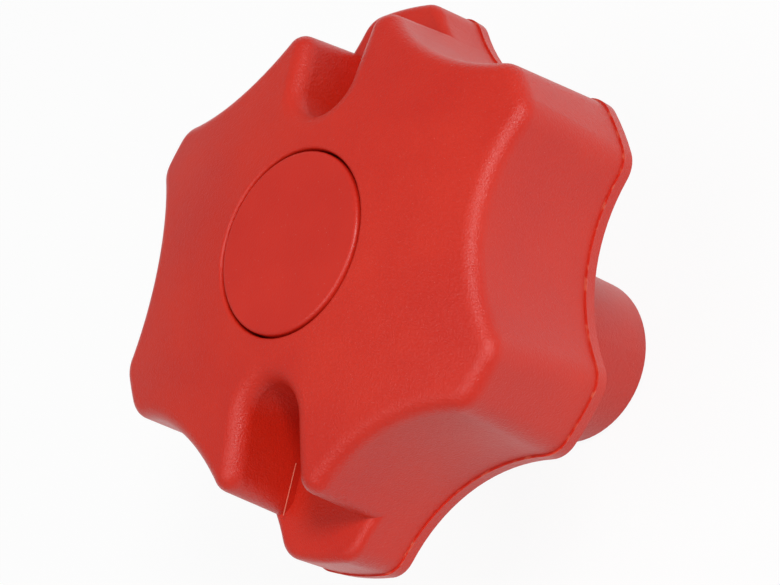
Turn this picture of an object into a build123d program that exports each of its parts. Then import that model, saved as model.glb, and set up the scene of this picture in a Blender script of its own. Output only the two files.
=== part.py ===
from build123d import *
import math
import os

# Six-lobed star knob: a moulded body with two notched lobes, a pressed-in centre cap
# and a moulded-in threaded bush. Millimetres. The knob stands on the bush's face at
# z = 0, its axis is +Z, and the two notched lobes lie on +Y and -Y.

# ---- star ----
STAR_TIP_RADIUS = 30.6          # to the lobe tips, at the back face
NOTCHED_TIP_RADIUS = 31.2       # the same of the two notched lobes
NOTCHED_LOBE_WIDTH = 20.0       # less than from scallop to scallop beside such a lobe
STAR_VALLEY_RADIUS = 25.4       # to the bottom of the scallops on +X and -X, at the back face
SIDE_VALLEY_RADIUS = 25.4       # the same of the four scallops beside the notched lobes
SCALLOP_RADIUS = 20.0           # curve of a finger scallop, at the back face
SCALLOP_SPREAD_DEG = 2.2        # the scallops beside a notched lobe are turned away from it
STAR_THICKNESS = 18.6
TIP_DRAFT_DEG = 3.4             # the lobe tips close in towards the front face
SCALLOP_DRAFT_DEG = 5.0         # the scallops do so more
FACE_CROWN = 3.4                # fall of the front face out to the lobe tips
CREASE_RADIUS = 3.2             # round between a scallop and a lobe tip
FACE_EDGE_RADIUS = 1.9          # round between the front face and the sides
RIM_STEP = 0.1                  # parting rim, proud of the sides
RIM_HEIGHT = 1.3

# ---- notches in the two opposite lobes ----
NOTCH_HALF_WIDTH = 3.9
NOTCH_INNER_REACH = 14.3        # from the axis to the round inner end
NOTCH_FLARE_DEG = 6.5            # each side of a notch leans out towards the mouth
NOTCH_DEPTH = 11.2
HORN_RADIUS = 2.0               # round between a notch side and the scallop beside it
LEDGE_EDGE_RADIUS = 1.1         # round of the lobe that stays below the notch

# ---- hub behind the star ----
HUB_RADIUS = 10.25
HUB_LENGTH = 31.0
HUB_DRAFT_DEG = 0.5
HUB_END_CHAMFER = 0.5
HUB_ROOT_RADIUS = 1.5

# ---- centre cap and its seat ----
SEAT_RADIUS = 10.1
SEAT_DEPTH = 3.6
SEAT_EDGE_RADIUS = 0.35
CAP_RIM_CLEARANCE = 0.25
CAP_SINK = 0.3                  # cap top below the front face
CAP_EDGE_RADIUS = 0.45
STEM_RADIUS = 3.0               # press fit in the body
STEM_LENGTH = 4.0
STEM_LEAD = 0.5
STEM_END_CLEARANCE = 0.6

# ---- threaded bush, blind ----
BUSH_RADIUS = 7.5
BUSH_LENGTH = 24.0
BUSH_PROUD = 0.2                # bush face stands out of the hub end
BUSH_EDGE_CHAMFER = 0.15
GRIP_GROOVE_DEPTH = 0.8         # holds the bush in the moulding
GRIP_GROOVE_WIDTH = 2.4
GRIP_GROOVE_REACH = 12.0        # from the bush face to the middle of the groove
THREAD_CORE_RADIUS = 4.25       # M10 core hole
THREAD_DEPTH = 20.0
THREAD_LEAD_IN = 0.9

# ---- heights and places that follow from the sizes above ----
HUB_END_Z = BUSH_PROUD
BACK_Z = HUB_END_Z + HUB_LENGTH
FACE_Z = BACK_Z + STAR_THICKNESS
NOTCH_FLOOR_Z = FACE_Z - NOTCH_DEPTH
SEAT_FLOOR_Z = FACE_Z - SEAT_DEPTH
CAP_RADIUS = SEAT_RADIUS - CAP_RIM_CLEARANCE
CAP_HEIGHT = SEAT_DEPTH - CAP_SINK
SPARE = 3.0                     # cutters run this far past what they open


def edges_where(solid, keep):
    """Edges of a solid that the given test keeps."""
    return [edge for edge in solid.edges() if keep(edge, edge.center(), edge.bounding_box())]


def tip_outline(growth=0.0, notched=False):
    """Outline of the lobe tips at the back face, grown outwards.

    Where it is to be notched, the two lobes run on, so that each side of a notch meets the
    scallop beside it.
    """
    tip = NOTCHED_TIP_RADIUS + (SPARE if notched else growth)
    return Circle(STAR_TIP_RADIUS + growth) + (Circle(tip) & Rectangle(NOTCHED_LOBE_WIDTH, 2 * tip))


def scallop_outlines(growth=0.0):
    """The six finger scallops at the back face, as the star grown outwards leaves them."""
    beside = 60 - SCALLOP_SPREAD_DEG
    valleys = [(turn, STAR_VALLEY_RADIUS) for turn in (0, 180)]
    valleys += [(turn, SIDE_VALLEY_RADIUS) for turn in (beside, 180 - beside, 180 + beside, -beside)]
    circle = Circle(SCALLOP_RADIUS - growth)
    return [Rot(0, 0, turn) * Pos(valley + SCALLOP_RADIUS, 0) * circle for turn, valley in valleys]


def drafted_star(height, notched=False):
    """Star with drafted sides and rounded creases, up to a flat top."""
    back = Pos(0, 0, BACK_Z)
    star = extrude(back * tip_outline(notched=notched), height, taper=TIP_DRAFT_DEG)
    for outline in scallop_outlines():
        star -= extrude(back * outline, height, taper=-SCALLOP_DRAFT_DEG)
    creases = edges_where(star, lambda edge, at, box: (
        box.size.Z > height / 2 and not (notched and abs(at.X) < NOTCHED_LOBE_WIDTH / 2)))
    return fillet(creases, CREASE_RADIUS)


def notch_cutter():
    """The +Y notch, round at its inner end and wider at its mouth, cut right through the lobe."""
    slope = math.radians(NOTCH_FLARE_DEG)
    inner = NOTCH_INNER_REACH + NOTCH_HALF_WIDTH
    start = (NOTCH_HALF_WIDTH * math.cos(slope), inner - NOTCH_HALF_WIDTH * math.sin(slope))
    reach = NOTCHED_TIP_RADIUS + 2 * SPARE
    mouth = start[0] + (reach - start[1]) * math.tan(slope)
    plan = Pos(0, inner) * Circle(NOTCH_HALF_WIDTH)
    plan += make_face(Polyline(start, (mouth, reach), (-mouth, reach), (-start[0], start[1]), close=True))
    return extrude(Pos(0, 0, BACK_Z - SPARE) * plan, STAR_THICKNESS + 2 * SPARE)


def star_front():
    """Crowned star with its notches cut through, and with rounded horns and face edge."""
    crown_radius = (STAR_TIP_RADIUS ** 2 + FACE_CROWN ** 2) / (2 * FACE_CROWN)
    front = drafted_star(STAR_THICKNESS + SPARE, notched=True)
    front &= Pos(0, 0, FACE_Z - crown_radius) * Sphere(crown_radius)
    front -= PolarLocations(0, 2) * notch_cutter()
    horns = edges_where(front, lambda edge, at, box: (
        box.size.Z > STAR_THICKNESS / 2 and abs(at.Y) > NOTCH_INNER_REACH + 2 * NOTCH_HALF_WIDTH
        and abs(at.X) < NOTCHED_LOBE_WIDTH / 2))
    front = fillet(horns, HORN_RADIUS)
    face_edges = edges_where(front, lambda edge, at, box: box.min.Z > FACE_Z - 2 * FACE_CROWN)
    return fillet(face_edges, FACE_EDGE_RADIUS)


def notch_ledge():
    """The +Y lobe below its notch, rounded along its top edge."""
    height = NOTCH_FLOOR_Z - BACK_Z
    reach = NOTCHED_TIP_RADIUS - NOTCH_INNER_REACH + 2 * SPARE
    width = NOTCHED_LOBE_WIDTH
    window = Pos(0, NOTCH_INNER_REACH - SPARE + reach / 2, BACK_Z + height / 2) * Box(width, reach, height)
    ledge = drafted_star(height) & window
    rims = edges_where(ledge, lambda edge, at, box: (
        box.min.Z > NOTCH_FLOOR_Z - 0.01 and abs(at.X) < width / 2 - 0.1
        and at.Y > NOTCH_INNER_REACH))
    return fillet(rims, LEDGE_EDGE_RADIUS)


def parting_rim():
    """Thin band round the back of the star."""
    outline = tip_outline(RIM_STEP) - scallop_outlines(RIM_STEP)
    outline = fillet(outline.vertices(), CREASE_RADIUS)
    return extrude(Pos(0, 0, BACK_Z) * outline, RIM_HEIGHT)


def hub():
    """Drafted round hub with a rounded root, reaching into the star so that the two join."""
    root_radius = HUB_RADIUS + HUB_LENGTH * math.tan(math.radians(HUB_DRAFT_DEG))
    flange_radius = root_radius + HUB_ROOT_RADIUS + SPARE
    root = (root_radius, BACK_Z)
    profile = make_face(Polyline(
        (0, HUB_END_Z), (HUB_RADIUS, HUB_END_Z), root, (flange_radius, BACK_Z),
        (flange_radius, BACK_Z + RIM_HEIGHT), (0, BACK_Z + RIM_HEIGHT), close=True))
    corner = profile.vertices().sort_by_distance(Vector(*root))[0]
    profile = fillet(corner, HUB_ROOT_RADIUS)
    end = profile.vertices().sort_by_distance(Vector(HUB_RADIUS, HUB_END_Z))[0]
    profile = chamfer(end, HUB_END_CHAMFER)
    return revolve(Rot(90, 0, 0) * profile, Axis.Z)


def bush_blank():
    """Outside of the bush, which is also the cavity it sits in."""
    blank = Pos(0, 0, BUSH_LENGTH / 2) * Cylinder(BUSH_RADIUS, BUSH_LENGTH)
    groove = Cylinder(BUSH_RADIUS + SPARE, GRIP_GROOVE_WIDTH)
    groove -= Cylinder(BUSH_RADIUS - GRIP_GROOVE_DEPTH, GRIP_GROOVE_WIDTH)
    return blank - Pos(0, 0, GRIP_GROOVE_REACH) * groove


def knob_body():
    """The one moulded piece: star, notched lobes, parting rim and hub."""
    body = star_front()
    for turn in (0, 180):
        body += Rot(0, 0, turn) * notch_ledge()
    body += parting_rim()
    body += hub()
    seat = Pos(0, 0, SEAT_FLOOR_Z + (SEAT_DEPTH + SPARE) / 2) * Cylinder(SEAT_RADIUS, SEAT_DEPTH + SPARE)
    body -= seat
    mouth = edges_where(body, lambda edge, at, box: (
        box.min.Z > FACE_Z - FACE_CROWN and box.max.X < SEAT_RADIUS + 0.1 and box.min.X > -SEAT_RADIUS - 0.1))
    body = fillet(mouth, SEAT_EDGE_RADIUS)
    stem_depth = STEM_LENGTH + STEM_END_CLEARANCE
    body -= Pos(0, 0, SEAT_FLOOR_Z - stem_depth / 2) * Cylinder(STEM_RADIUS, stem_depth)
    return body - bush_blank()


def centre_cap():
    """Round cap with a softened edge and a press-fit stem."""
    disc = Pos(0, 0, SEAT_FLOOR_Z + CAP_HEIGHT / 2) * Cylinder(CAP_RADIUS, CAP_HEIGHT)
    disc = fillet(disc.edges().group_by(Axis.Z)[-1], CAP_EDGE_RADIUS)
    stem = Pos(0, 0, SEAT_FLOOR_Z - STEM_LENGTH / 2) * Cylinder(STEM_RADIUS, STEM_LENGTH)
    stem = chamfer(stem.edges().group_by(Axis.Z)[0], STEM_LEAD)
    return disc + stem


def threaded_bush():
    """Metal bush with a blind core hole and a lead-in at its mouth."""
    bush = chamfer(bush_blank().edges().group_by(Axis.Z)[0], BUSH_EDGE_CHAMFER)
    bush -= Pos(0, 0, THREAD_DEPTH / 2) * Cylinder(THREAD_CORE_RADIUS, THREAD_DEPTH)
    mouth = edges_where(bush, lambda edge, at, box: abs(at.Z) < 0.01 and box.max.X < THREAD_CORE_RADIUS + 0.1)
    return chamfer(mouth, THREAD_LEAD_IN)


os.makedirs("parts", exist_ok=True)
for name, make in (("knob_body", knob_body), ("centre_cap", centre_cap), ("threaded_bush", threaded_bush)):
    export_step(make(), f"parts/{name}.step")
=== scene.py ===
"""Dresses the star knob: moulded body, centre cap and threaded bush, on a pale studio floor."""

import logging
import math
from collections.abc import Callable
from dataclasses import dataclass, field
from enum import Enum

import bpy
from mathutils import Matrix, Vector


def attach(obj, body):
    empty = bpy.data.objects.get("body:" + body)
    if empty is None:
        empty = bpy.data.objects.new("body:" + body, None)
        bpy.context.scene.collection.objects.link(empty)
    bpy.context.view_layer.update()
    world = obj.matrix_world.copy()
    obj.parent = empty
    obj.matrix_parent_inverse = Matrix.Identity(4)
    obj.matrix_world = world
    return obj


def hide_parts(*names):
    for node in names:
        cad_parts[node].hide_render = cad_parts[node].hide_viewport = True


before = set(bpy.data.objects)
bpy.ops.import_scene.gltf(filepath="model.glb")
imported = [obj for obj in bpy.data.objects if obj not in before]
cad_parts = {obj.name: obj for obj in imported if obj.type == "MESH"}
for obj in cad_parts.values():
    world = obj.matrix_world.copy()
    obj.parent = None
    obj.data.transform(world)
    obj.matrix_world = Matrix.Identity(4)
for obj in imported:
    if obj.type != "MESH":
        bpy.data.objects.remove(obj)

Colour = tuple[float, float, float]
Socket = bpy.types.NodeSocket
Value = Socket | float | tuple[float, ...]

LOG = logging.getLogger("star_knob")
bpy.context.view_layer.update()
ORIGIN = (0.0, 0.0, 0.0)


def linear(red: int, green: int, blue: int) -> Colour:
    """Turns an 8-bit display colour into a linear one.

    Args:
        red: Red, 0 to 255.
        green: Green, 0 to 255.
        blue: Blue, 0 to 255.

    Returns:
        The linear red, green and blue.
    """
    def channel(value: int) -> float:
        """Linear value of one 8-bit channel."""
        share = value / 255.0
        return share / 12.92 if share <= 0.04045 else ((share + 0.055) / 1.055) ** 2.4

    return channel(red), channel(green), channel(blue)


class Skin(Enum):
    """How the mould left a plastic surface. The value is the width of one pit in metres."""

    SPARK_ERODED = 0.00019
    FINE_SATIN = 0.00024


@dataclass(frozen=True)
class PlasticFinish:
    """A dyed, glass-filled moulding and its grain. Lengths are in metres."""

    name: str
    skin: Skin
    colour: Colour
    deep_colour: Colour
    roughness: float
    roughness_spread: float
    grain_depth: float
    fleck_amount: float
    flash_amount: float = 0.0
    ior: float = 1.5
    specular: float = 0.5


@dataclass(frozen=True)
class BrassFinish:
    """Turned brass with fine rings. Lengths are in metres."""

    name: str = "bush_brass"
    colour: Colour = (0.72, 0.50, 0.20)
    roughness: float = 0.30
    ring_scale: float = 1400.0
    ring_wander: float = 0.6
    ring_depth: float = 0.000008


BODY_RED = PlasticFinish(
    name="body_red",
    skin=Skin.SPARK_ERODED,
    colour=linear(216, 43, 21),
    deep_colour=linear(208, 36, 18),
    roughness=0.37,
    roughness_spread=0.04,
    grain_depth=0.000110,
    fleck_amount=0.3,
    flash_amount=0.30,
)
CAP_RED = PlasticFinish(
    name="cap_red",
    skin=Skin.FINE_SATIN,
    colour=linear(214, 42, 24),
    deep_colour=linear(206, 36, 20),
    roughness=0.34,
    roughness_spread=0.05,
    grain_depth=0.000060,
    fleck_amount=0.3,
)
# The flash fin is real, but its pale pink colour is a painted highlight: it stands in for the glint
# along that notch edge.
FLASH_PAINTED_HIGHLIGHT = PlasticFinish(
    name="flash_painted_highlight",
    skin=Skin.FINE_SATIN,
    colour=linear(226, 120, 96),
    deep_colour=linear(220, 104, 84),
    roughness=0.45,
    roughness_spread=0.05,
    grain_depth=0.000010,
    fleck_amount=0.0,
)


class NodeDesk:
    """Adds and links nodes in one node tree."""

    def __init__(self, tree: bpy.types.NodeTree) -> None:
        """Keeps the tree to work in."""
        self.tree = tree

    @classmethod
    def over(cls, owner: bpy.types.Material | bpy.types.World) -> "NodeDesk":
        """Opens the tree of a material or world, emptied.

        Args:
            owner: What the tree belongs to.

        Returns:
            A desk on that tree.
        """
        owner.use_nodes = True
        owner.node_tree.nodes.clear()
        return cls(owner.node_tree)

    def add(self, kind: str, **values: object) -> bpy.types.Node:
        """Adds a node and sets its properties.

        Args:
            kind: Node type, such as ShaderNodeTexNoise.
            values: Properties by name.

        Returns:
            The new node.
        """
        node = self.tree.nodes.new(kind)
        for key, value in values.items():
            setattr(node, key, value)
        return node

    def link(self, source: Socket, target: Socket) -> None:
        """Joins two sockets."""
        self.tree.links.new(source, target)

    def feed(self, value: Value, target: Socket) -> None:
        """Links a socket to the target, or writes a plain value on it.

        Args:
            value: Socket, number or colour.
            target: The input that takes it.
        """
        if isinstance(value, Socket):
            self.link(value, target)
        else:
            target.default_value = value

    def math(self, operation: str, first: Value, second: Value | None = None,
             clamp: bool = False) -> Socket:
        """Adds a Math node.

        Args:
            operation: Blender's name of the operation.
            first: Socket or number.
            second: Socket or number, where the operation takes two.
            clamp: Whether the result is held between 0 and 1.

        Returns:
            The output socket.
        """
        node = self.add("ShaderNodeMath", operation=operation, use_clamp=clamp)
        self.feed(first, node.inputs[0])
        if second is not None:
            self.feed(second, node.inputs[1])
        return node.outputs[0]

    def noise(self, where: Socket, scale: Value, detail: float, roughness: float = 0.5) -> Socket:
        """Adds a Noise Texture node.

        Args:
            where: The coordinates.
            scale: Socket or number.
            detail: Number of finer layers.
            roughness: How strongly the finer layers show.

        Returns:
            The noise, 0 to 1.
        """
        node = self.add("ShaderNodeTexNoise")
        node.inputs["Detail"].default_value = detail
        node.inputs["Roughness"].default_value = roughness
        self.link(where, node.inputs["Vector"])
        self.feed(scale, node.inputs["Scale"])
        return node.outputs[0]

    def mix(self, factor: Socket, first: Value, second: Value) -> Socket:
        """Mixes two colours.

        Args:
            factor: Share of the second colour.
            first: Socket or colour.
            second: Socket or colour.

        Returns:
            The mixed colour.
        """
        node = self.add("ShaderNodeMix", data_type="RGBA")
        self.link(factor, node.inputs["Factor"])
        for name, value in (("A", first), ("B", second)):
            self.feed(value, next(one for one in node.inputs if one.name == name and one.type == "RGBA"))
        return next(one for one in node.outputs if one.type == "RGBA")

    def principled(self) -> bpy.types.Node:
        """Adds a Principled shader, joined to the material's output.

        Returns:
            The shader node.
        """
        surface = self.add("ShaderNodeBsdfPrincipled")
        output = self.add("ShaderNodeOutputMaterial")
        self.link(surface.outputs[0], output.inputs["Surface"])
        return surface

    def bump(self, surface: bpy.types.Node, height: Socket, depth: float) -> None:
        """Gives a shader a bumped normal.

        Args:
            surface: The shader node.
            height: The relief, 0 to 1.
            depth: Depth of the full relief in metres.
        """
        node = self.add("ShaderNodeBump")
        node.inputs["Distance"].default_value = depth
        self.link(height, node.inputs["Height"])
        self.link(node.outputs[0], surface.inputs["Normal"])


class ShaderGroup:
    """A shader node group that reads Object coordinates, with numbers in and numbers out."""

    def __init__(self, name: str, inputs: dict[str, float], outputs: tuple[str, ...]) -> None:
        """Makes the group, its sockets and its end nodes.

        Args:
            name: The group's name.
            inputs: Each input with the value that it has where none is set.
            outputs: The outputs.
        """
        self.tree = bpy.data.node_groups.new(name, "ShaderNodeTree")
        face = self.tree.interface
        for key, value in inputs.items():
            face.new_socket(key, in_out="INPUT", socket_type="NodeSocketFloat").default_value = value
        for key in outputs:
            face.new_socket(key, in_out="OUTPUT", socket_type="NodeSocketFloat")
        self.desk = NodeDesk(self.tree)
        self.given = self.desk.add("NodeGroupInput")
        self.result = self.desk.add("NodeGroupOutput")
        self.where = self.desk.add("ShaderNodeTexCoord").outputs["Object"]

    def put_in(self, desk: NodeDesk) -> bpy.types.Node:
        """Adds the group to a material."""
        return desk.add("ShaderNodeGroup", node_tree=self.tree)


class GrainGroup(ShaderGroup):
    """Moulding grain, cloudy dye and glass flecks.

    The scales of the wider pits and of the flecks are shares of the grain's own scale, and the
    cloud's scale is per metre.
    """

    NAME = "moulding_grain"
    FINE_DETAIL, FINE_ROUGHNESS, FINE_SHARE = 2.0, 0.6, 0.7
    WIDE_DETAIL, WIDE_SCALE, WIDE_SHARE = 1.0, 0.31, 0.3
    CLOUD_DETAIL, CLOUD_SCALE = 5.0, 110.0
    FLECK_SCALE, FLECK_RADIUS, FLECK_GAPS = 0.8, 0.16, 0.95

    def __init__(self) -> None:
        """Builds the group once."""
        given = {"Grain Scale": 1.0 / Skin.FINE_SATIN.value, "Fleck Amount": 0.0}
        super().__init__(self.NAME, given, ("Height", "Cloud", "Fleck"))
        self._grain()
        self._cloud()
        self._flecks()

    def _grain(self) -> None:
        """Adds the height of the pitted skin, fine pits over wider ones."""
        desk, scale = self.desk, self.given.outputs["Grain Scale"]
        fine = desk.noise(self.where, scale, self.FINE_DETAIL, self.FINE_ROUGHNESS)
        wide = desk.noise(self.where, desk.math("MULTIPLY", scale, self.WIDE_SCALE), self.WIDE_DETAIL)
        both = desk.math("ADD", desk.math("MULTIPLY", fine, self.FINE_SHARE),
                         desk.math("MULTIPLY", wide, self.WIDE_SHARE))
        desk.link(both, self.result.inputs["Height"])

    def _cloud(self) -> None:
        """Adds the broad, faint clouding of the dye."""
        cloud = self.desk.noise(self.where, self.CLOUD_SCALE, self.CLOUD_DETAIL)
        self.desk.link(cloud, self.result.inputs["Cloud"])

    def _flecks(self) -> None:
        """Adds a few pale glass flecks: the core of the few cells whose own number is high."""
        desk = self.desk
        cells = desk.add("ShaderNodeTexVoronoi", feature="F1")
        desk.link(self.where, cells.inputs["Vector"])
        scale = desk.math("MULTIPLY", self.given.outputs["Grain Scale"], self.FLECK_SCALE)
        desk.link(scale, cells.inputs["Scale"])
        core = desk.math("LESS_THAN", cells.outputs["Distance"], self.FLECK_RADIUS)
        number = desk.add("ShaderNodeSeparateColor")
        desk.link(cells.outputs["Color"], number.inputs[0])
        chosen = desk.math("GREATER_THAN", number.outputs[0], self.FLECK_GAPS)
        fleck = desk.math("MULTIPLY", core, chosen)
        amount = desk.math("MULTIPLY", fleck, self.given.outputs["Fleck Amount"])
        desk.link(amount, self.result.inputs["Fleck"])


class FlashGroup(ShaderGroup):
    """Broken pale flash where the two halves of the mould met, at one height. Lengths are in metres."""

    NAME = "parting_flash"
    HEIGHT = 0.03252
    HALF_WIDTH = 0.00011
    CRUMB_SCALE, CRUMB_DETAIL = 900.0, 3.0
    CRUMB_GAPS, CRUMB_CONTRAST = 0.52, 9.0

    def __init__(self) -> None:
        """Builds the group once."""
        given = {"Height": self.HEIGHT, "Half Width": self.HALF_WIDTH, "Amount": 0.0}
        super().__init__(self.NAME, given, ("Mask",))
        desk = self.desk
        split = desk.add("ShaderNodeSeparateXYZ")
        desk.link(self.where, split.inputs[0])
        off = desk.math("SUBTRACT", split.outputs["Z"], self.given.outputs["Height"])
        band = desk.math("LESS_THAN", desk.math("ABSOLUTE", off), self.given.outputs["Half Width"])
        crumbs = desk.noise(self.where, self.CRUMB_SCALE, self.CRUMB_DETAIL)
        above = desk.math("SUBTRACT", crumbs, self.CRUMB_GAPS)
        broken = desk.math("MULTIPLY", above, self.CRUMB_CONTRAST, clamp=True)
        mask = desk.math("MULTIPLY", desk.math("MULTIPLY", band, broken), self.given.outputs["Amount"])
        desk.link(mask, self.result.inputs["Mask"])


class PlasticMaker:
    """Makes a moulded-plastic material from a finish."""

    FLECK_COLOUR = linear(232, 150, 138)
    FLASH_COLOUR = linear(236, 150, 120)
    CLOUD_LOW, CLOUD_HIGH = 0.32, 0.68

    def __init__(self, grain: GrainGroup, flash: FlashGroup) -> None:
        """Keeps the shared groups."""
        self.grain = grain
        self.flash = flash

    def make(self, finish: PlasticFinish) -> bpy.types.Material:
        """Builds the material.

        Args:
            finish: Colours, gloss and grain.

        Returns:
            The new material.
        """
        material = bpy.data.materials.new(finish.name)
        desk = NodeDesk.over(material)
        surface = desk.principled()
        surface.inputs["IOR"].default_value = finish.ior
        surface.inputs["Specular IOR Level"].default_value = finish.specular
        grain = self.grain.put_in(desk)
        grain.inputs["Grain Scale"].default_value = 1.0 / finish.skin.value
        grain.inputs["Fleck Amount"].default_value = finish.fleck_amount
        desk.link(self._colour(desk, grain, finish), surface.inputs["Base Color"])
        gloss = self._clouded(desk, grain, finish.roughness - finish.roughness_spread,
                              finish.roughness + finish.roughness_spread)
        desk.link(gloss, surface.inputs["Roughness"])
        desk.bump(surface, grain.outputs["Height"], finish.grain_depth)
        return material

    def _colour(self, desk: NodeDesk, grain: bpy.types.Node, finish: PlasticFinish) -> Socket:
        """Lays the dye, the flecks and, where the finish has it, the flash.

        Args:
            desk: Where the nodes are added.
            grain: The grain group's node.
            finish: Colours and amounts.

        Returns:
            The colour over the surface.
        """
        spread = self._clouded(desk, grain, 0.0, 1.0)
        dye = desk.mix(spread, (*finish.deep_colour, 1.0), (*finish.colour, 1.0))
        colour = desk.mix(grain.outputs["Fleck"], dye, (*self.FLECK_COLOUR, 1.0))
        if finish.flash_amount:
            flash = self.flash.put_in(desk)
            flash.inputs["Amount"].default_value = finish.flash_amount
            colour = desk.mix(flash.outputs["Mask"], colour, (*self.FLASH_COLOUR, 1.0))
        return colour

    def _clouded(self, desk: NodeDesk, grain: bpy.types.Node, low: float, high: float) -> Socket:
        """Maps the cloud of the dye onto a range.

        Args:
            desk: Where the node is added.
            grain: The grain group's node.
            low: Value in the thin parts.
            high: Value in the dense parts.

        Returns:
            The mapped value.
        """
        node = desk.add("ShaderNodeMapRange")
        node.inputs["From Min"].default_value = self.CLOUD_LOW
        node.inputs["From Max"].default_value = self.CLOUD_HIGH
        node.inputs["To Min"].default_value = low
        node.inputs["To Max"].default_value = high
        desk.link(grain.outputs["Cloud"], node.inputs["Value"])
        return node.outputs[0]


def make_brass(finish: BrassFinish) -> bpy.types.Material:
    """Builds the material of turned brass.

    Args:
        finish: Colour, gloss and turning rings.

    Returns:
        The new material.
    """
    material = bpy.data.materials.new(finish.name)
    desk = NodeDesk.over(material)
    surface = desk.principled()
    surface.inputs["Base Color"].default_value = (*finish.colour, 1.0)
    surface.inputs["Metallic"].default_value = 1.0
    surface.inputs["Roughness"].default_value = finish.roughness
    rings = desk.add("ShaderNodeTexWave", wave_type="RINGS", rings_direction="Z")
    rings.inputs["Scale"].default_value = finish.ring_scale
    rings.inputs["Distortion"].default_value = finish.ring_wander
    desk.link(desk.add("ShaderNodeTexCoord").outputs["Object"], rings.inputs["Vector"])
    desk.bump(surface, rings.outputs["Fac"], finish.ring_depth)
    return material


def wear(piece: bpy.types.Object, material: bpy.types.Material) -> None:
    """Makes a material the only one of a piece."""
    piece.data.materials.clear()
    piece.data.materials.append(material)


def select_where(mesh: bpy.types.Mesh, inside: Callable[[Vector], bool]) -> None:
    """Selects the vertices in a place, and the edges and faces that lie wholly among them.

    Args:
        mesh: The mesh, in object mode.
        inside: Whether a point is in the place.
    """
    chosen = [inside(vertex.co) for vertex in mesh.vertices]
    for face in mesh.polygons:
        face.select = all(chosen[i] for i in face.vertices)
    for edge in mesh.edges:
        edge.select = all(chosen[i] for i in edge.vertices)
    for vertex in mesh.vertices:
        vertex.select = chosen[vertex.index]


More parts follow.
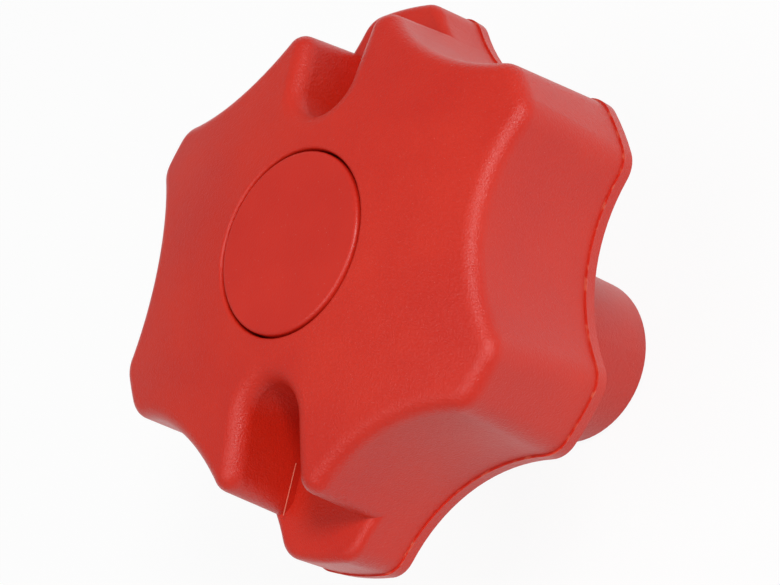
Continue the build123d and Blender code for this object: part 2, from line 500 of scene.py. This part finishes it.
@dataclass
class ThreadedBush:
    """The brass bush with a real internal thread. Lengths are in metres.

    The ridge of the thread is a trapezium, whose root and crest are shares of the pitch.
    """

    outer_radius: float = 0.0075
    length: float = 0.024
    bore_depth: float = 0.020
    mouth_radius: float = 0.00515
    lead_in: float = 0.0004
    major_radius: float = 0.00500
    minor_radius: float = 0.00425
    pitch: float = 0.0015
    root_share: float = 0.875
    crest_share: float = 0.25
    first_turn: float = 0.0010
    turns: int = 12
    steps_per_turn: int = 64
    facets: int = 96
    smooth_below: float = math.radians(35.0)
    weld: float = 1e-7
    end_margin: float = 1e-6

    def build(self, material: bpy.types.Material) -> bpy.types.Object:
        """Models the bush and its thread as one piece, and puts it in the solid's place.

        Args:
            material: The brass.

        Returns:
            The finished piece.
        """
        blank = self._blank()
        ridge = self._wound(self._profile())
        bpy.ops.object.select_all(action="DESELECT")
        ridge.select_set(True)
        blank.select_set(True)
        bpy.context.view_layer.objects.active = blank
        bpy.ops.object.join()
        bpy.ops.object.shade_smooth_by_angle(angle=self.smooth_below)
        blank.name = "bush_with_thread"
        wear(blank, material)
        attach(blank, "root")
        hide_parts("threaded_bush")
        LOG.info("built %s", blank.name)
        return blank

    def _blank(self) -> bpy.types.Object:
        """Turns the bush with its blind bore and the lead-in at its mouth.

        Returns:
            The blank.
        """
        bpy.ops.object.select_all(action="DESELECT")
        bpy.ops.mesh.primitive_cylinder_add(vertices=self.facets, radius=self.outer_radius,
                                            depth=self.length, location=(0.0, 0.0, self.length / 2))
        blank = bpy.context.active_object
        bpy.ops.object.transform_apply(location=True, rotation=True, scale=True)
        select_where(blank.data, lambda point: point.z < self.end_margin)
        bpy.ops.object.mode_set(mode="EDIT")
        bpy.ops.mesh.select_mode(type="FACE")
        bpy.ops.mesh.inset(thickness=self.outer_radius - self.mouth_radius)
        shrink = self.major_radius / self.mouth_radius
        deeper = self.bore_depth - self.lead_in
        bpy.ops.mesh.extrude_region_move(TRANSFORM_OT_translate={"value": (0.0, 0.0, self.lead_in)})
        bpy.ops.transform.resize(value=(shrink, shrink, 1.0), center_override=ORIGIN)
        bpy.ops.mesh.extrude_region_move(TRANSFORM_OT_translate={"value": (0.0, 0.0, deeper)})
        bpy.ops.object.mode_set(mode="OBJECT")
        return blank

    def _profile(self) -> bpy.types.Object:
        """Draws the outline of the thread's ridge, root outwards, where the first turn starts.

        Returns:
            The outline, edges only.
        """
        root = self.root_share * self.pitch
        depth = self.major_radius - self.minor_radius
        middle = (self.major_radius + self.minor_radius) / 2
        taper = self.crest_share / self.root_share
        bpy.ops.object.select_all(action="DESELECT")
        bpy.ops.mesh.primitive_plane_add(size=1.0, location=ORIGIN,
                                         rotation=(math.radians(90.0), 0.0, 0.0))
        outline = bpy.context.active_object
        bpy.ops.object.transform_apply(location=True, rotation=True, scale=True)
        bpy.ops.object.mode_set(mode="EDIT")
        bpy.ops.mesh.select_all(action="SELECT")
        bpy.ops.transform.resize(value=(depth, 1.0, root), center_override=ORIGIN)
        bpy.ops.transform.translate(value=(middle, 0.0, self.first_turn))
        bpy.ops.object.mode_set(mode="OBJECT")
        select_where(outline.data, lambda point: point.x < middle)
        bpy.ops.object.mode_set(mode="EDIT")
        bpy.ops.mesh.select_mode(type="EDGE")
        bpy.ops.transform.resize(value=(1.0, 1.0, taper),
                                 center_override=(self.minor_radius, 0.0, self.first_turn))
        bpy.ops.mesh.select_all(action="SELECT")
        bpy.ops.mesh.delete(type="ONLY_FACE")
        bpy.ops.object.mode_set(mode="OBJECT")
        return outline

    def _wound(self, outline: bpy.types.Object) -> bpy.types.Object:
        """Winds the outline up the bore and closes both ends.

        Args:
            outline: The ridge's outline, which is the active object.

        Returns:
            The same object, as the whole ridge.
        """
        wind = outline.modifiers.new("wind", "SCREW")
        wind.screw_offset = self.pitch
        wind.iterations = self.turns
        wind.steps = wind.render_steps = self.steps_per_turn
        wind.use_merge_vertices = True
        wind.merge_threshold = self.weld
        bpy.ops.object.modifier_apply(modifier="wind")
        bpy.ops.object.mode_set(mode="EDIT")
        bpy.ops.mesh.select_all(action="SELECT")
        bpy.ops.mesh.fill_holes(sides=4)
        bpy.ops.mesh.select_all(action="SELECT")
        bpy.ops.mesh.normals_make_consistent(inside=False)
        bpy.ops.object.mode_set(mode="OBJECT")
        return outline


@dataclass
class NotchFlashPaintedHighlight:
    """Thin thread of flash at the foot of one notch side, coloured pale pink as a painted highlight
    along that edge. Lengths are in metres.
    """

    middle: tuple[float, float, float] = (-0.00452, -0.0236, 0.03955)
    length: float = 0.0056
    width: float = 0.00012
    lean: float = math.radians(6.5)
    edge_share: float = 0.4
    edge_segments: int = 3
    smooth_below: float = math.radians(40.0)

    def build(self, material: bpy.types.Material) -> bpy.types.Object:
        """Models the flash.

        Args:
            material: The thin plastic, pale pink as a painted highlight.

        Returns:
            The finished piece.
        """
        bpy.ops.object.select_all(action="DESELECT")
        bpy.ops.mesh.primitive_cube_add(size=1.0, location=ORIGIN)
        flash = bpy.context.active_object
        bpy.ops.object.mode_set(mode="EDIT")
        bpy.ops.mesh.select_all(action="SELECT")
        bpy.ops.transform.resize(value=(self.width, self.length, self.width), center_override=ORIGIN)
        bpy.ops.object.mode_set(mode="OBJECT")
        flash.location = self.middle
        flash.rotation_euler = (0.0, 0.0, -self.lean)
        bpy.ops.object.transform_apply(location=True, rotation=True, scale=True)
        soften = flash.modifiers.new("soften", "BEVEL")
        soften.width = self.width * self.edge_share
        soften.segments = self.edge_segments
        bpy.ops.object.modifier_apply(modifier="soften")
        bpy.ops.object.shade_smooth_by_angle(angle=self.smooth_below)
        flash.name = "notch_flash_painted_highlight"
        wear(flash, material)
        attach(flash, "root")
        LOG.info("built %s", flash.name)
        return flash


@dataclass
class Eye:
    """The camera: where it stands about the knob and how it is turned.

    Angles are in radians. Lengths are in metres, apart from the sensor's width, which is in
    millimetres. distance runs along the line of sight, down to the middle of the cap seat, which
    stands at seat_across and seat_down from the middle of the view, as shares of its width.
    lens_share is the focal length over the sensor's width.
    """

    face_z: float = 0.0498
    distance: float = 0.16739251
    lens_share: float = 2.1137
    tilt: float = 0.8216
    turn: float = 0.3862
    scallop_turn: float = 0.3377
    seat_across: float = -0.13495
    seat_down: float = -0.06645
    sensor_width: float = 36.0
    nearest: float = 0.001

    def place(self) -> bpy.types.Object:
        """Adds the camera and makes it the scene's.

        Returns:
            The camera object.
        """
        right, down, ahead = self._directions()
        across, drop = self.seat_across / self.lens_share, self.seat_down / self.lens_share
        seat = Vector((0.0, 0.0, self.face_z))
        data = bpy.data.cameras.new("camera")
        data.sensor_width = self.sensor_width
        data.lens = self.lens_share * self.sensor_width
        data.clip_start = self.nearest
        camera = bpy.data.objects.new("camera", data)
        bpy.context.scene.collection.objects.link(camera)
        turned = Matrix((right, -down, -ahead)).transposed()
        spot = seat - (across * right + drop * down + ahead) * self.distance
        camera.matrix_world = Matrix.Translation(spot) @ turned.to_4x4()
        bpy.context.scene.camera = camera
        return camera

    def _directions(self) -> tuple[Vector, Vector, Vector]:
        """Works out where the image's own directions point in the scene.

        Each seen vector holds how far one direction of the knob runs rightwards, downwards and
        away in the image.

        Returns:
            The image's rightwards, downwards and away.
        """
        lean, rise = math.sin(self.tilt), math.cos(self.tilt)
        near_share, cross_share = math.cos(self.turn), math.sin(self.turn)
        up_seen = Vector((-lean * near_share, -lean * cross_share, -rise))
        near_seen = Vector((rise * near_share, rise * cross_share, -lean))
        cross_seen = Vector((cross_share, -near_share, 0.0))
        near = Vector((math.cos(self.scallop_turn), -math.sin(self.scallop_turn), 0.0))
        cross = Vector((math.sin(self.scallop_turn), math.cos(self.scallop_turn), 0.0))
        up = Vector((0.0, 0.0, 1.0))
        right, down, away = (
            near_seen[i] * near + cross_seen[i] * cross + up_seen[i] * up for i in range(3))
        return right, down, away


@dataclass
class SoftLamp:
    """A square panel lamp that faces the knob. Lengths are in metres."""

    name: str
    towards: tuple[float, float, float]
    distance: float
    size: float
    radiance: float
    aim_z: float = 0.035

    def hang(self) -> None:
        """Adds the lamp."""
        data = bpy.data.lights.new(self.name, "AREA")
        data.size = self.size
        data.energy = self.radiance * math.pi * self.size ** 2
        lamp = bpy.data.objects.new(self.name, data)
        bpy.context.scene.collection.objects.link(lamp)
        aim = Vector((0.0, 0.0, self.aim_z))
        side = Vector(self.towards).normalized()
        lamp.location = aim + side * self.distance
        lamp.rotation_euler = (-side).to_track_quat("-Z", "Y").to_euler()


@dataclass
class Studio:
    """Pale floor, plain world and soft lamps. Lengths are in metres."""

    floor_half: float = 1.5
    floor_z: float = -0.0001
    floor_paint: Colour = (0.9, 0.9, 0.9)
    floor_glow: float = 1.0
    glow_share: float = 0.92
    world_strength: float = 0.40
    lamps: list[SoftLamp] = field(default_factory=lambda: [
        SoftLamp("key_lamp", (0.666, 0.208, 0.716), distance=0.60, size=0.13, radiance=30.0),
        SoftLamp("top_lamp", (0.10, -0.30, 0.90), distance=0.70, size=0.50, radiance=2.0),
    ])

    def build(self) -> None:
        """Adds the floor, the world and the lamps."""
        self._floor()
        self._world()
        for lamp in self.lamps:
            lamp.hang()

    def _floor(self) -> None:
        """Adds the floor, which keeps the knob's shadow and shows nearly white."""
        bpy.ops.mesh.primitive_plane_add(size=2 * self.floor_half, location=(0.0, 0.0, self.floor_z))
        floor = bpy.context.active_object
        floor.name = "floor"
        material = bpy.data.materials.new("floor_white")
        desk = NodeDesk.over(material)
        paint = desk.add("ShaderNodeBsdfDiffuse")
        paint.inputs["Color"].default_value = (*self.floor_paint, 1.0)
        glow = desk.add("ShaderNodeEmission")
        glow.inputs["Strength"].default_value = self.floor_glow
        ray = desk.add("ShaderNodeLightPath").outputs
        mix = desk.add("ShaderNodeMixShader")
        output = desk.add("ShaderNodeOutputMaterial")
        mirrored = desk.math("MAXIMUM", ray["Is Glossy Ray"], ray["Is Transmission Ray"])
        seen = desk.math("MAXIMUM", ray["Is Camera Ray"], mirrored)
        desk.link(desk.math("MULTIPLY", seen, self.glow_share), mix.inputs[0])
        desk.link(paint.outputs[0], mix.inputs[1])
        desk.link(glow.outputs[0], mix.inputs[2])
        desk.link(mix.outputs[0], output.inputs["Surface"])
        wear(floor, material)

    def _world(self) -> None:
        """Sets a plain pale world."""
        world = bpy.data.worlds.new("studio")
        bpy.context.scene.world = world
        desk = NodeDesk.over(world)
        sky = desk.add("ShaderNodeBackground")
        sky.inputs["Strength"].default_value = self.world_strength
        output = desk.add("ShaderNodeOutputWorld")
        desk.link(sky.outputs[0], output.inputs["Surface"])


def dress(node: str, material: bpy.types.Material) -> None:
    """Gives a carried-over solid its finish."""
    wear(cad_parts[node], material)
    LOG.info("dressed %s in %s", node, material.name)


def main() -> None:
    """Builds the knob's looks in order."""
    logging.basicConfig(level=logging.INFO)
    bpy.context.scene.view_settings.view_transform = "Standard"
    bpy.ops.object.select_all(action="DESELECT")
    Eye().place()
    Studio().build()
    plastic = PlasticMaker(GrainGroup(), FlashGroup())
    dress("knob_body", plastic.make(BODY_RED))
    dress("centre_cap", plastic.make(CAP_RED))
    ThreadedBush().build(make_brass(BrassFinish()))
    NotchFlashPaintedHighlight().build(plastic.make(FLASH_PAINTED_HIGHLIGHT))


if __name__ == "__main__":
    main()
